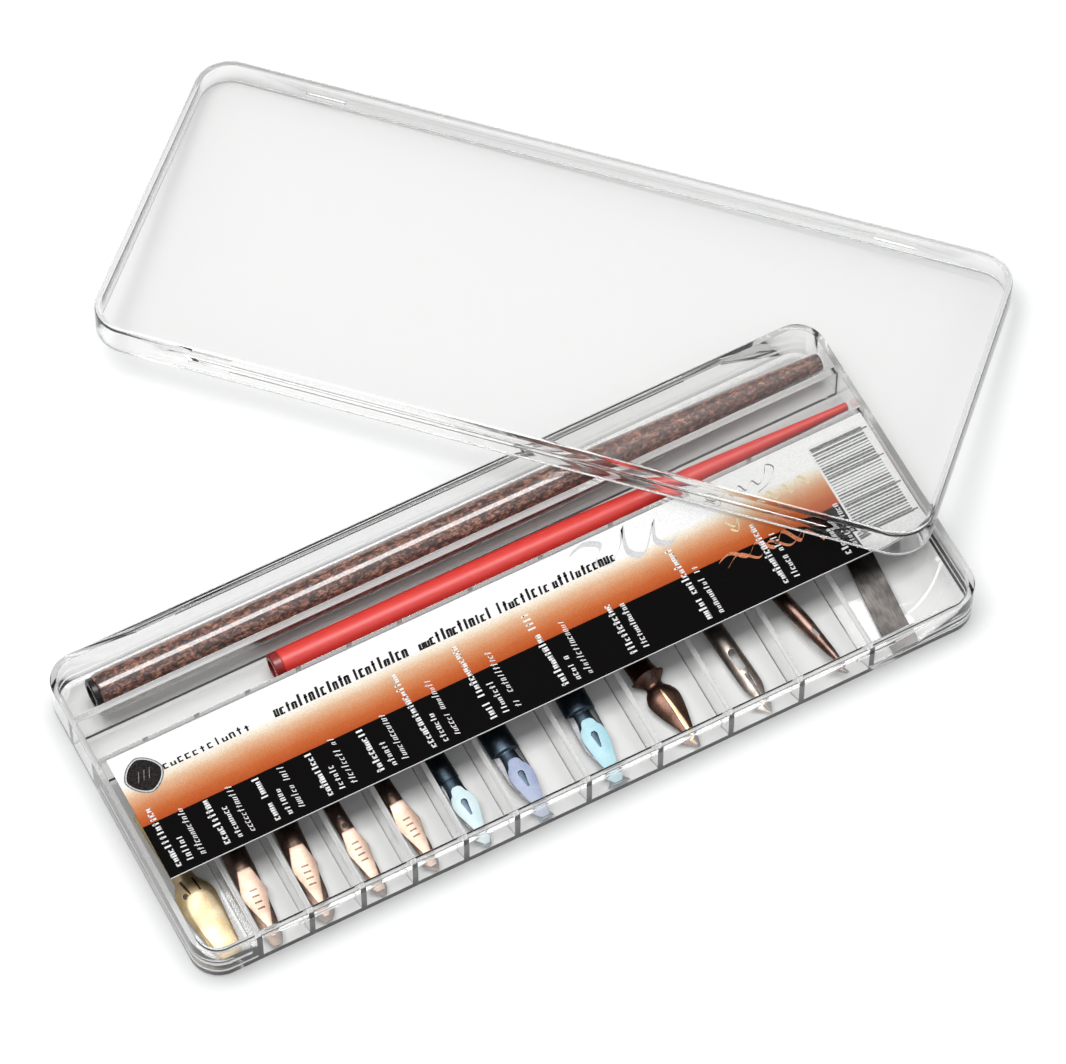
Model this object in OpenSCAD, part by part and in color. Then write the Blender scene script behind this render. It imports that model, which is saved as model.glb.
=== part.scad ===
// Calligraphy set in a clear hinge-free case: a moulded tray, its lid lying turned and tilted on
// the tray, two pen holders, eleven steel nibs, a steel strip and a printed card.
// Millimetres. Origin at the middle of the tray's underside, X along the tray, Z up.

/* [Tray] */
// Height of the tray from the table to its rim
tray_h = 11; // [10:0.5:18]
// Thickness of the tray's four walls
wall_t = 1.3; // [0.9:0.1:2]
// Thickness of the tray's floor
floor_t = 1.5; // [1:0.1:2.5]
// Radius of the tray's upright corners
corner_r = 6.5; // [4:0.5:9]
// Radius of the rounded lower edge of the tray
edge_r = 0.8; // [0.3:0.1:1.2]

/* [Compartments] */
// Thickness of the two long dividers
divider_t = 1.3; // [0.8:0.1:2]
// Thickness of the short ribs between the nibs
rib_t = 1.15; // [0.8:0.05:1.6]
// How far the tops of dividers and ribs lie below the rim
divider_drop = 0.7; // [0.4:0.1:2]
// Clear width of the rear trough, which holds the thick pen holder
rear_trough_w = 12.2; // [10:0.1:15]
// Clear width of the middle trough, which holds the thin pen holder
middle_trough_w = 10; // [8:0.1:13]
// Clear width of the first nib cell, at the left end
first_cell_w = 11; // [10:0.05:13]
// Spacing of the ribs between the narrow cells
narrow_pitch = 11.65; // [10.5:0.05:13]
// Clear width of the last cell, at the right end; the wide cells share what is left
last_cell_w = 24.75; // [12:0.05:30]
// Clear length of the nib cells, from the front wall to the middle divider
cell_l = 48.1; // [46:0.1:58]
// Free length of the rear trough beyond the thick holder's mouth
mouth_play = 5.3; // [2:0.1:10]
// Free length of the rear trough beyond the thick holder's tail
brown_tail_play = 0.8; // [0.3:0.1:3]
// Free length of the middle trough beyond the thin holder's tail
red_tail_play = 0.5; // [0.3:0.1:3]
// Gap between the rear divider and the thick holder
brown_gap = 1.05; // [0.3:0.05:2]
// Gap between the middle divider and the thin holder
red_gap = 1.45; // [0.3:0.05:2]
// Gap that every nib keeps at least to the ribs beside it
side_gap = 0.4; // [0.2:0.05:1]

/* [Lid] */
// Thickness of the lid's walls and plate
lid_t = 1.3; // [0.9:0.1:2]
// Height of the lid over all
lid_h = 7.2; // [5:0.1:10]
// Clearance between the lid and the tray all round when it is closed
lid_gap = 0.3; // [0.1:0.05:0.6]
// Radius of the lid's rounded upper edge
lid_edge_r = 1; // [0.4:0.1:1.2]
// Place of the lid's middle along the tray, as it lies open
lid_x = 44.35; // [30:0.05:60]
// Place of the lid's middle across the tray, as it lies open
lid_y = 66.35; // [55:0.05:80]
// Turn of the open lid about the upright, in degrees
lid_turn = -45.3; // [-60:0.1:-30]

/* [Snaps] */
// Distance of the snap bumps from the middle of the long walls
snap_x = 64; // [40:1:75]
// Length of a snap bump
snap_l = 9; // [4:0.5:14]
// How far a snap bump stands out of its wall
snap_out = 0.25; // [0.1:0.05:0.3]
// Depth of the bumps below the tray's rim, and above the lid's lower edge
snap_z = 2.2; // [1.5:0.1:3]

/* [Card] */
// How much shorter the printed card is than the tray is long inside
card_play = 3.8; // [2:0.1:12]
// Width of the printed card
card_w = 30.6; // [25:0.1:34]
// Thickness of the card
card_t = 0.3; // [0.2:0.05:0.6]
// Turn of the card on the ribs, in degrees
card_turn = 0.7; // [0:0.1:1]
// Cut across the card's rear right corner
card_clip = 2.6; // [1:0.1:5]

/* [Thick pen holder] */
// Length of the thick holder over all
brown_l = 171.3; // [150:0.1:200]
// Largest diameter of the thick holder
brown_d = 8; // [6.5:0.1:9]
// Diameter of its black collar
brown_collar_d = 6.4; // [5.6:0.1:7.2]
// How far the collar stands out of the handle
brown_collar_out = 2; // [1:0.1:4]
// Bore that takes a nib
brown_bore_d = 4.8; // [4:0.1:5.2]

/* [Thin pen holder] */
// Length of the thin holder over all
red_l = 135; // [100:0.5:170]
// Largest diameter of the thin holder
red_d = 6.6; // [5.4:0.1:7.5]
// Length of the darker ring at its mouth
red_collar_l = 2; // [1:0.1:4]
// Bore that takes a nib
red_bore_d = 4.2; // [3:0.1:4.6]

/* [Holder sockets] */
// Depth of the nib socket in both holders
socket_depth = 15; // [10:0.5:20]
// Thickness of the spring steel prongs in a socket
prong_t = 0.3; // [0.2:0.05:0.5]
// Gap left between a holder and the tray's floor
roll_gap = 0.1; // [0.05:0.05:0.3]

/* [Nibs] */
// Thickness of the nibs' sheet metal
nib_t = 0.35; // [0.25:0.05:0.5]
// Length of a nib from tip to the end of its shank
nib_l = 38; // [34:0.5:42]
// Gap between the nibs' tips and the front wall
tip_gap = 0.7; // [0.4:0.1:2]
// Width of the slit that splits a nib's point
slit_w = 0.15; // [0.1:0.05:0.25]
// Thickness of the reservoir plates
plate_t = 0.3; // [0.2:0.05:0.4]
// Gap between a reservoir plate and the nib below it
plate_gap = 0.08; // [0.05:0.01:0.2]
// Outer diameter of the mapping nib's tube
mapping_d = 3.4; // [2.8:0.1:4]

/* [Steel strip] */
// Width of the flat strip in the last cell
strip_w = 6.2; // [5:0.1:10]
// Length of the strip
strip_l = 42; // [30:0.5:44]
// Thickness of the strip
strip_t = 0.8; // [0.5:0.1:1.5]

/* [Hidden] */
$fn = 64;

// Overlap that joins pieces of one moulding
join = 0.3;
// Amount by which a cutting shape runs past what it cuts
past = 1;

// Inside of the tray: the rear trough takes the thick holder, and the cells the nibs
inner_l = brown_l + mouth_play + brown_tail_play;
inner_w = cell_l + middle_trough_w + rear_trough_w + 2 * divider_t;
tray_l = inner_l + 2 * wall_t;
tray_w = inner_w + 2 * wall_t;
rib_top = tray_h - divider_drop;
front_y = -inner_w / 2;

// Front faces of the two long dividers
rear_divider_y = inner_w / 2 - rear_trough_w - divider_t;
middle_divider_y = rear_divider_y - middle_trough_w - divider_t;

// Middles of the eleven ribs, narrow cells first
narrow_ribs = 6;
wide_ribs = 5;
first_rib_x = -inner_l / 2 + first_cell_w + rib_t / 2;
narrow_end_x = first_rib_x + (narrow_ribs - 1) * narrow_pitch;
wide_pitch = (inner_l / 2 - last_cell_w - rib_t / 2 - narrow_end_x) / wide_ribs;
rib_x = [
    for (k = [0:narrow_ribs - 1]) first_rib_x + k * narrow_pitch,
    for (k = [1:wide_ribs]) narrow_end_x + k * wide_pitch
];
function cell_left(i) = i == 0 ? -inner_l / 2 : rib_x[i - 1] + rib_t / 2;
function cell_right(i) = i == len(rib_x) ? inner_l / 2 : rib_x[i] - rib_t / 2;

// Lid outside, and its pose: it rests on the back rim, on the right rim and on one corner
lid_l = tray_l + 2 * (lid_gap + lid_t);
lid_w = tray_w + 2 * (lid_gap + lid_t);
lid_corner_r = corner_r + lid_gap + lid_t;
lid_rest_gap = 0.15;
table_gap = 0.03;
along = [cos(lid_turn), sin(lid_turn)];
across = [-sin(lid_turn), cos(lid_turn)];
lid_mid = [lid_x, lid_y];
near_inside = lid_mid - (lid_w / 2 - lid_t) * across;
rest_back = near_inside + (tray_w / 2 - near_inside.y) / along.y * along;
right_inside = lid_mid + (lid_l / 2 - lid_t) * along;
rest_right = right_inside + (tray_l / 2 - right_inside.x) / across.x * across;
rest_table = lid_mid + lid_w / 2 * across - (lid_l / 2 - lid_corner_r) * along;
rest_line = rest_right - rest_back;
downhill = [-rest_line.y, rest_line.x] / norm(rest_line);
fall = (tray_h + lid_rest_gap - table_gap) / (downhill * (rest_table - rest_back));
lid_tilt = atan(fall);
lid_z = table_gap + fall * (downhill * (rest_table - lid_mid));

// Card: its rear edge lies on the middle divider
card_gap = 0.05;
card_l = inner_l - card_play;
card_back_y = middle_divider_y + 0.25;

// Thick holder, by distance from the left end of its handle
brown_y = rear_divider_y + divider_t + brown_gap + brown_d / 2;
brown_left = -inner_l / 2 + mouth_play;
brown_z = floor_t + roll_gap + brown_d / 2;
brown_handle_l = brown_l - brown_collar_out;

// Thin holder
red_y = middle_divider_y + divider_t + red_gap + red_d / 2;
red_left = inner_l / 2 - red_tail_play - red_l;
red_z = floor_t + roll_gap + red_d / 2;

socket_wall = 0.5;
prong_count = 4;
prong_width = 55;

// Rows of a sheet metal piece: distance from the tip, half width, half angle of its arc, lift
function blend(a, b, c, d, t) =
    0.5 * (2 * b + (c - a) * t + (2 * a - 5 * b + 4 * c - d) * t * t + (3 * b - a - 3 * c + d) * t * t * t);
function smooth(rows, n) = [
    for (i = [0:len(rows) - 2])
        for (k = [0:n - 1])
            blend(rows[max(i - 1, 0)], rows[i], rows[i + 1], rows[min(i + 2, len(rows) - 1)], k / n),
    rows[len(rows) - 1]
];
function crown_table(rows) = [for (r = rows) [r[0], r[3] + r[1] * tan(r[2] / 2)]];
// A plate gets the lift that keeps it clear of the nib's crown
function seated(rows, nib_rows) = [
    for (r = rows) [
        r[0], r[1], r[2],
        lookup(r[0], crown_table(nib_rows)) + plate_gap + plate_t - r[1] * tan(r[2] / 2)
    ]
];

// Nibs with a slip-on or folded reservoir
nib_steps = 2;
function tape_rows(tip, blade, shank) = smooth([
    [0, tip / 2, 14, 0.4],
    [5, blade, 26, 0.4],
    [10.5, (blade + shank) / 2, 38, 0.4],
    [16, shank, 58, 0.4],
    [20, shank, 70, 0.3],
    [nib_l, shank, 76, 0.3]
], nib_steps);
function tape_plate(foot, belly, top) = [
    [2.6, foot, 10],
    [5, foot + 0.5, 14],
    [10.5, belly, 20],
    [12, belly - 0.15, 22],
    [16.3, top, 12]
];
tape_nibs = [tape_rows(2, 2.05, 2.7), tape_rows(1.6, 2.05, 2.7), tape_rows(1.2, 1.7, 1.8), tape_rows(1, 1.7, 1.8)];
tape_plates = [tape_plate(1, 2.8, 1.3), tape_plate(1.1, 2.5, 1.3), tape_plate(1.05, 2.15, 1.1), tape_plate(1.3, 2.05, 1.25)];

function ornamental_rows(tip, shank) = smooth([
    [0, tip / 2, 12, 0.4],
    [6, 1.5, 26, 0.4],
    [11, 1.7, 34, 0.4],
    [13.6, 1.4, 40, 0.4],
    [16.2, shank * 0.97, 60, 0.4],
    [18.5, shank, 66, 0.3],
    [nib_l, shank, 74, 0.3]
], nib_steps);
function ornamental_plate(foot, belly, top) = smooth([
    [0.6, foot, 8],
    [5.2, (foot + belly) / 2 + 0.25, 14],
    [9.6, belly, 20],
    [11.6, belly - 0.35, 20],
    [13.2, top, 14]
], nib_steps);
ornamental_nibs = [ornamental_rows(1.5, 2.4), ornamental_rows(3.5, 3.2), ornamental_rows(5, 3.35)];
ornamental_plates = [ornamental_plate(0.5, 2.3, 0.8), ornamental_plate(1.2, 2.5, 1.2), ornamental_plate(1.0, 2.35, 1.2)];

poster_rows = smooth([
    [0, 3, 16, 0.4],
    [6, 3.2, 24, 0.4],
    [9.5, 3.7, 34, 0.4],
    [14, 4.35, 48, 0.4],
    [16, 4, 54, 0.4],
    [18, 2.6, 60, 0.3],
    [20.5, 2.15, 68, 0.3],
    [nib_l, 2.15, 76, 0.3]
], nib_steps);
poster_plate_rows = smooth([
    [3, 2.3, 10],
    [6, 2.5, 14],
    [9.5, 2.7, 18],
    [14, 2.9, 24],
    [16, 2.1, 20]
], nib_steps);

crown_rows = smooth([
    [0, 0.25, 12, 0.4],
    [4, 1.0, 28, 0.4],
    [9, 2.6, 44, 0.4],
    [12.5, 3.3, 50, 0.4],
    [14.5, 3.1, 54, 0.4],
    [16, 2.5, 60, 0.4],
    [18.2, 3.9, 70, 0.4],
    [19.5, 3.0, 76, 0.3],
    [nib_l, 2.65, 78, 0.3]
], nib_steps);
school_rows = smooth([
    [0, 0.25, 14, 0.4],
    [4, 1.1, 34, 0.4],
    [10, 1.9, 52, 0.4],
    [16, 2.1, 66, 0.3],
    [22, 2.05, 76, 0.3],
    [nib_l, 2.05, 80, 0.3]
], nib_steps);
mapping_point_l = 13;
mapping_l = 30;

// Rows of what lies in each cell, from left to right
cell_rows = concat(
    [poster_rows], tape_nibs, ornamental_nibs,
    [crown_rows, school_rows],
    [[[0, mapping_d / 2], [mapping_l, mapping_d / 2]], [[0, strip_w / 2], [strip_l, strip_w / 2]]]
);
// Where it lies: share of its free play to the right, -1 to 1, and its turn in degrees
lies = [
    [0.09, 3.4],
    [-0.21, -2.9], [-0.07, -4.1], [-0.58, 1.3], [-0.83, 2.8],
    [-0.7, 1.9], [-0.63, 2], [-0.06, -1.7],
    [-0.47, 6.5], [0.02, 3.2], [0.12, 10.6], [-0.38, -5.5]
];
tip_y = front_y + tip_gap;
function left_reach(rows, turn) = min([for (r = rows) -r[0] * sin(turn) - r[1] * cos(turn)]);
function right_reach(rows, turn) = max([for (r = rows) -r[0] * sin(turn) + r[1] * cos(turn)]);
function tip_x(i) =
    let(
        left = left_reach(cell_rows[i], lies[i][1]),
        right = right_reach(cell_rows[i], lies[i][1]),
        play = (cell_right(i) - cell_left(i) - (right - left)) / 2 - side_gap
    )
    (cell_left(i) + cell_right(i) - left - right) / 2 + lies[i][0] * play;

module rounded_rect(l, w, r) {
    square([l - 2 * r, w], center = true);
    square([l, w - 2 * r], center = true);
    for (x = [-1, 1], y = [-1, 1])
        translate([x * (l / 2 - r), y * (w / 2 - r)])
            circle(r);
}

// Block with round upright corners of radius r and a lower edge rounded to radius e
module soft_block(l, w, h, r, e) {
    translate([0, 0, e])
        linear_extrude(h - e)
            rounded_rect(l, w, r);
    linear_extrude(e)
        rounded_rect(l - 2 * e, w - 2 * e, r - e);
    for (x = [-1, 1], y = [-1, 1])
        translate([x * (l / 2 - r), y * (w / 2 - r), e])
            rotate_extrude()
                intersection() {
                    translate([r - e, 0])
                        circle(e);
                    translate([r - e - e, -e])
                        square([2 * e, e]);
                }
    for (s = [-1, 1]) {
        translate([0, s * (w / 2 - e), e])
            rotate([0, 90, 0])
                cylinder(r = e, h = l - 2 * r, center = true);
        translate([s * (l / 2 - e), 0, e])
            rotate([90, 0, 0])
                cylinder(r = e, h = w - 2 * r, center = true);
    }
}

// Shallow bump lying along X, standing out of the plane y = 0 by snap_out
module snap_bump() {
    bump_r = 1.2;
    translate([0, snap_out - bump_r, 0])
        intersection() {
            rotate([0, 90, 0])
                cylinder(r = bump_r, h = snap_l, center = true);
            translate([0, bump_r, 0])
                cube([snap_l, 2 * (snap_out + join), 2 * bump_r], center = true);
        }
}

module tray() {
    color([0.93, 0.94, 0.95, 0.5]) {
        difference() {
            soft_block(tray_l, tray_w, tray_h, corner_r, edge_r);
            translate([0, 0, floor_t])
                linear_extrude(tray_h)
                    rounded_rect(inner_l, inner_w, corner_r - wall_t);
        }
        for (y = [rear_divider_y, middle_divider_y])
            translate([-inner_l / 2 - join, y, floor_t - join])
                cube([inner_l + 2 * join, divider_t, rib_top - floor_t + join]);
        for (x = rib_x)
            translate([x - rib_t / 2, front_y - join, floor_t - join])
                cube([rib_t, middle_divider_y - front_y + 2 * join, rib_top - floor_t + join]);
        for (x = [-1, 1])
            translate([x * snap_x, 0, tray_h - snap_z]) {
                translate([0, tray_w / 2, 0])
                    snap_bump();
                translate([0, -tray_w / 2, 0])
                    rotate([0, 0, 180])
                        snap_bump();
            }
    }
}

// Lid as moulded: opening down, its lower edge on z = 0
module lid_shape() {
    difference() {
        translate([0, 0, lid_h])
            mirror([0, 0, 1])
                soft_block(lid_l, lid_w, lid_h, lid_corner_r, lid_edge_r);
        translate([0, 0, -past])
            linear_extrude(lid_h - lid_t + past)
                rounded_rect(lid_l - 2 * lid_t, lid_w - 2 * lid_t, lid_corner_r - lid_t);
    }
    for (x = [-1, 1])
        translate([x * snap_x, 0, snap_z]) {
            translate([0, lid_w / 2 - lid_t, 0])
                rotate([0, 0, 180])
                    snap_bump();
            translate([0, -lid_w / 2 + lid_t, 0])
                snap_bump();
        }
}

module lid() {
    color([0.95, 0.95, 0.96, 0.35])
        translate([lid_x, lid_y, lid_z])
            rotate(a = lid_tilt, v = [-downhill.y, downhill.x, 0])
                rotate([0, 0, lid_turn])
                    lid_shape();
}

module card() {
    color("white")
        translate([0, card_back_y, rib_top + card_gap])
            rotate([0, 0, card_turn])
                linear_extrude(card_t)
                    difference() {
                        translate([-card_l / 2, -card_w])
                            square([card_l, card_w]);
                        translate([card_l / 2, 0])
                            rotate([0, 0, 45])
                                square(card_clip * sqrt(2), center = true);
                    }
}

// A turned piece lying along X from the origin, from a profile of [distance, radius] pairs
module turned(profile) {
    rotate([90, 0, 90])
        rotate_extrude()
            polygon(concat([[0, profile[0][0]]], [for (p = profile) [p[1], p[0]]], [[0, profile[len(profile) - 1][0]]]));
}

// Round end of a turned piece: a quarter arc from radius r to the axis, ending at length l
function round_end(l, r, steps) = [for (k = [0:steps]) [l - r + r * sin(90 * k / steps), r * cos(90 * k / steps)]];

module socket(d) {
    translate([-past, 0, 0])
        rotate([0, 90, 0])
            cylinder(d = d, h = socket_depth + past);
}

// Four sprung leaves round the wall of a socket, joined by a ring at its inner end
module prongs(d) {
    ring_l = 2.5;
    seat = 0.05;
    r = d / 2 - seat;
    mouth = 1;
    rotate([90, 0, 90]) {
        difference() {
            translate([0, 0, socket_depth - ring_l - seat])
                cylinder(r = r, h = ring_l);
            translate([0, 0, socket_depth - ring_l - past])
                cylinder(r = r - prong_t, h = ring_l + 2 * past);
        }
        for (k = [0:prong_count - 1])
            rotate([0, 0, 45 + 360 / prong_count * k - prong_width / 2])
                translate([0, 0, mouth])
                    rotate_extrude(angle = prong_width)
                        translate([r - prong_t, 0])
                            square([prong_t, socket_depth - mouth - ring_l / 2]);
    }
}

brown_body_r = brown_d / 2;
brown_collar_r = brown_collar_d / 2;
brown_tail_r = 1.85;
brown_profile = concat(
    [[0, brown_collar_r + 0.25], [0.5, brown_collar_r + 0.4], [3.3, brown_body_r - 0.25], [11.3, brown_body_r]],
    [[101, brown_body_r], [113, brown_body_r - 0.2], [121.3, brown_body_r - 0.5], [141.3, brown_body_r - 1.1]],
    [[156.3, brown_body_r - 1.65], [161.3, brown_body_r - 1.8]],
    round_end(brown_handle_l, brown_tail_r, 5)
);

module brown_handle() {
    color([0.37, 0.2, 0.16])
        translate([brown_left + brown_collar_out, brown_y, brown_z])
            difference() {
                turned(brown_profile);
                translate([-brown_collar_out, 0, 0])
                    socket(brown_bore_d + 2 * socket_wall);
            }
}

module brown_collar() {
    flange_l = brown_collar_out - join;
    color([0.1, 0.1, 0.1])
        translate([brown_left, brown_y, brown_z])
            difference() {
                union() {
                    turned([[0, brown_collar_r - 0.3], [0.3, brown_collar_r], [flange_l, brown_collar_r]]);
                    rotate([0, 90, 0])
                        cylinder(d = brown_bore_d + 2 * socket_wall - 0.1, h = socket_depth - 0.1);
                }
                socket(brown_bore_d);
            }
}

module brown_prongs() {
    color([0.8, 0.8, 0.82])
        translate([brown_left, brown_y, brown_z])
            prongs(brown_bore_d);
}

red_body_r = red_d / 2;
red_tail_r = 0.75;
red_profile = concat(
    [[red_collar_l, red_body_r - 0.15], [red_collar_l + 0.6, red_body_r], [26.8, red_body_r]],
    [[46.8, red_body_r - 0.2], [66.8, red_body_r - 0.3], [86.8, red_body_r - 0.9], [106.8, red_body_r - 1.5]],
    [[116.8, red_body_r - 1.85], [126.8, red_body_r - 2.3]],
    round_end(red_l, red_tail_r, 4)
);

module red_handle() {
    color([0.9, 0.2, 0.16])
        translate([red_left, red_y, red_z])
            difference() {
                turned(red_profile);
                socket(red_bore_d);
            }
}

module red_collar() {
    color([0.6, 0.1, 0.08])
        translate([red_left, red_y, red_z])
            difference() {
                turned([[0, red_body_r - 0.5], [0.4, red_body_r - 0.1], [red_collar_l - 0.05, red_body_r - 0.1]]);
                socket(red_bore_d);
            }
}

module red_prongs() {
    color([0.8, 0.8, 0.82])
        translate([red_left, red_y, red_z])
            prongs(red_bore_d);
}

// Puts a piece drawn with its tip at the origin and its shank along +Y into its cell
module in_cell(i) {
    translate([tip_x(i), tip_y, floor_t])
        rotate([0, 0, lies[i][1]])
            children();
}

// Bent sheet metal of thickness t through rows of [distance, half width, arc, lift]
module sheet(rows, t) {
    cols = 7;
    per = cols + 1;
    count = len(rows) * per;
    last = len(rows) - 1;
    function at(row, a, inset) = [
        (row[1] / sin(row[2]) - inset) * sin(a * row[2]),
        row[0],
        row[3] + (row[1] / sin(row[2]) - inset) * cos(a * row[2]) - row[1] / tan(row[2])
    ];
    points = [for (inset = [0, t]) for (r = rows) for (j = [0:cols]) at(r, 2 * j / cols - 1, inset)];
    function quad(a, b, c, d) = [[a, b, c], [a, c, d]];
    function id(i, j) = i * per + j;
    faces = [
        for (i = [0:last - 1], j = [0:cols - 1])
            each quad(id(i, j), id(i + 1, j), id(i + 1, j + 1), id(i, j + 1)),
        for (i = [0:last - 1], j = [0:cols - 1])
            each quad(count + id(i, j), count + id(i, j + 1), count + id(i + 1, j + 1), count + id(i + 1, j)),
        for (i = [0:last - 1])
            each quad(id(i + 1, 0), id(i, 0), count + id(i, 0), count + id(i + 1, 0)),
        for (i = [0:last - 1])
            each quad(id(i, cols), id(i + 1, cols), count + id(i + 1, cols), count + id(i, cols)),
        for (j = [0:cols - 1])
            each quad(id(0, j), id(0, j + 1), count + id(0, j + 1), count + id(0, j)),
        for (j = [0:cols - 1])
            each quad(id(last, j + 1), id(last, j), count + id(last, j), count + id(last, j + 1))
    ];
    polyhedron(points, faces, convexity = 4);
}

// Slit from the tip to a round vent hole
module slit(length, hole_d) {
    high = 8;
    translate([-slit_w / 2, -past, -past])
        cube([slit_w, length + past, high]);
    translate([0, length, -past])
        cylinder(d = hole_d, h = high);
}

// Long opening with round ends between two distances from the tip
module long_hole(from, to, d) {
    high = 8;
    for (v = [from, to])
        translate([0, v, -past])
            cylinder(d = d, h = high);
    translate([-d / 2, from, -past])
        cube([d, to - from, high]);
}

// Pear-shaped opening of an ornamental plate, wide towards the shank
module pear_hole(from, to, d) {
    high = 8;
    translate([0, to, -past])
        cylinder(d = d, h = high, $fn = 24);
    translate([0, from, -past])
        linear_extrude(high)
            polygon([[-slit_w, 0], [-d / 2, to - from], [d / 2, to - from], [slit_w, 0]]);
}

module tape_nib(i) {
    color([0.3, 0.23, 0.2])
        in_cell(1 + i)
            difference() {
                sheet(tape_nibs[i], nib_t);
                slit(17.5, 1);
            }
}

module tape_reservoir(i) {
    color([0.85, 0.74, 0.68])
        in_cell(1 + i)
            sheet(seated(tape_plates[i], tape_nibs[i]), plate_t);
}

module ornamental_nib(i) {
    color([0.2, 0.25, 0.32])
        in_cell(5 + i)
            difference() {
                sheet(ornamental_nibs[i], nib_t);
                slit(14.5, 0.8);
            }
}

module ornamental_reservoir(i) {
    color([[0.72, 0.88, 0.92], [0.6, 0.63, 0.74], [0.6, 0.82, 0.88]][i])
        in_cell(5 + i)
            difference() {
                sheet(seated(ornamental_plates[i], ornamental_nibs[i]), plate_t);
                pear_hole(4.6, 9.2, 1.5);
            }
}

module poster_nib() {
    color([0.8, 0.7, 0.5])
        in_cell(0)
            difference() {
                sheet(poster_rows, nib_t);
                long_hole(24, 28, 1.2);
            }
}

module poster_reservoir() {
    color([0.86, 0.77, 0.58])
        in_cell(0)
            sheet(seated(poster_plate_rows, poster_rows), plate_t);
}

module crown_nib() {
    color([0.35, 0.22, 0.17])
        in_cell(8)
            difference() {
                sheet(crown_rows, nib_t);
                slit(13.8, 0.5);
                translate([0, 17, -past])
                    cylinder(d = 1.5, h = 8);
            }
}

module school_nib() {
    color([0.6, 0.55, 0.5])
        in_cell(9)
            difference() {
                sheet(school_rows, nib_t);
                slit(10.5, 0.5);
                long_hole(11, 15.5, 1.5);
            }
}

// Tube nib: a rolled shank and a point cut from the same tube
module mapping_nib() {
    r = mapping_d / 2;
    color([0.5, 0.42, 0.38])
        in_cell(10)
            difference() {
                translate([0, 0, r + 0.05])
                    rotate([-90, 0, 0])
                        rotate_extrude()
                            polygon([
                                [0.35, 0], [r * 0.62, 5], [r, mapping_point_l], [r, mapping_l],
                                [r - nib_t, mapping_l], [r - nib_t, mapping_point_l], [r * 0.62 - nib_t, 5],
                                [0.1, 0.6]
                            ]);
                translate([-mapping_d, -past, -past])
                    cube([2 * mapping_d, mapping_point_l - 1 + past, r + past]);
                translate([-slit_w / 2, -past, -past])
                    cube([slit_w, 9 + past, 8]);
                long_hole(9, 10.5, 0.7);
            }
}

module steel_strip() {
    color([0.45, 0.43, 0.42])
        in_cell(11)
            translate([-strip_w / 2, 0, 0.02])
                cube([strip_w, strip_l, strip_t]);
}

tray();
lid();
card();
brown_handle();
brown_collar();
brown_prongs();
red_handle();
red_collar();
red_prongs();
poster_nib();
poster_reservoir();
tape_nib(0);  // tape_nib_1
tape_nib(1);  // tape_nib_2
tape_nib(2);  // tape_nib_3
tape_nib(3);  // tape_nib_4
tape_reservoir(0);  // tape_reservoir_1
tape_reservoir(1);  // tape_reservoir_2
tape_reservoir(2);  // tape_reservoir_3
tape_reservoir(3);  // tape_reservoir_4
ornamental_nib(0);  // ornamental_nib_1
ornamental_nib(1);  // ornamental_nib_2
ornamental_nib(2);  // ornamental_nib_3
ornamental_reservoir(0);  // ornamental_reservoir_1
ornamental_reservoir(1);  // ornamental_reservoir_2
ornamental_reservoir(2);  // ornamental_reservoir_3
crown_nib();
school_nib();
mapping_nib();
steel_strip();
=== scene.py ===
import math

import bmesh
import bpy
from mathutils import Matrix, Vector
from mathutils.bvhtree import BVHTree


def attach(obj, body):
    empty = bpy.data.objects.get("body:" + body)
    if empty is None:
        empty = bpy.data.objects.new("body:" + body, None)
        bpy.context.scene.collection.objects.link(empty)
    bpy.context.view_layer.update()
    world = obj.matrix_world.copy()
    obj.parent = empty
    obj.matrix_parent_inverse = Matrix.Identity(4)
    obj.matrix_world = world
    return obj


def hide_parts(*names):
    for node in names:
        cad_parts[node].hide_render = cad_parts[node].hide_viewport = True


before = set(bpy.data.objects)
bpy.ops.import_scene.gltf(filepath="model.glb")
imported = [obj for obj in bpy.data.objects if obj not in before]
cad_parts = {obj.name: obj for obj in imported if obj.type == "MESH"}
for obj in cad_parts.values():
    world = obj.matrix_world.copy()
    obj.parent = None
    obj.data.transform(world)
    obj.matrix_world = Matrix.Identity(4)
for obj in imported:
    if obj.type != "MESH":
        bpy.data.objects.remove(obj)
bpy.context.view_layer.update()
mm = 0.001

# Camera: the photograph was taken with a long lens from the front left, about 61 degrees above the
# table, so upright walls show as narrow bands and the long sides stay nearly parallel.
view_turn = math.radians(27.75)
view_drop = math.radians(60.876)
view_distance = 1257 * mm
focal_pixels = 6077
photo_width = 1066
film_width = 36
look = Vector((
    math.sin(view_turn) * math.cos(view_drop),
    math.cos(view_turn) * math.cos(view_drop),
    -math.sin(view_drop),
))
look_right = Vector((math.cos(view_turn), -math.sin(view_turn), 0))
look_up = look_right.cross(look)
eye = 3.8 * mm * look_right + 25.6 * mm * look_up - view_distance * look
camera_data = bpy.data.cameras.new("camera")
camera_data.sensor_width = film_width
camera_data.sensor_fit = "HORIZONTAL"
camera_data.lens = focal_pixels / photo_width * film_width
camera_data.clip_start = 0.05
camera_data.clip_end = 20


def in_scene(name, data):
    """A new object in the scene, at the origin."""
    thing = bpy.data.objects.new(name, data)
    bpy.context.scene.collection.objects.link(thing)
    return thing


camera = in_scene("camera", camera_data)
camera.matrix_world = Matrix.Translation(eye) @ Matrix((look_right, look_up, -look)).transposed().to_4x4()
bpy.context.scene.camera = camera

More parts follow.
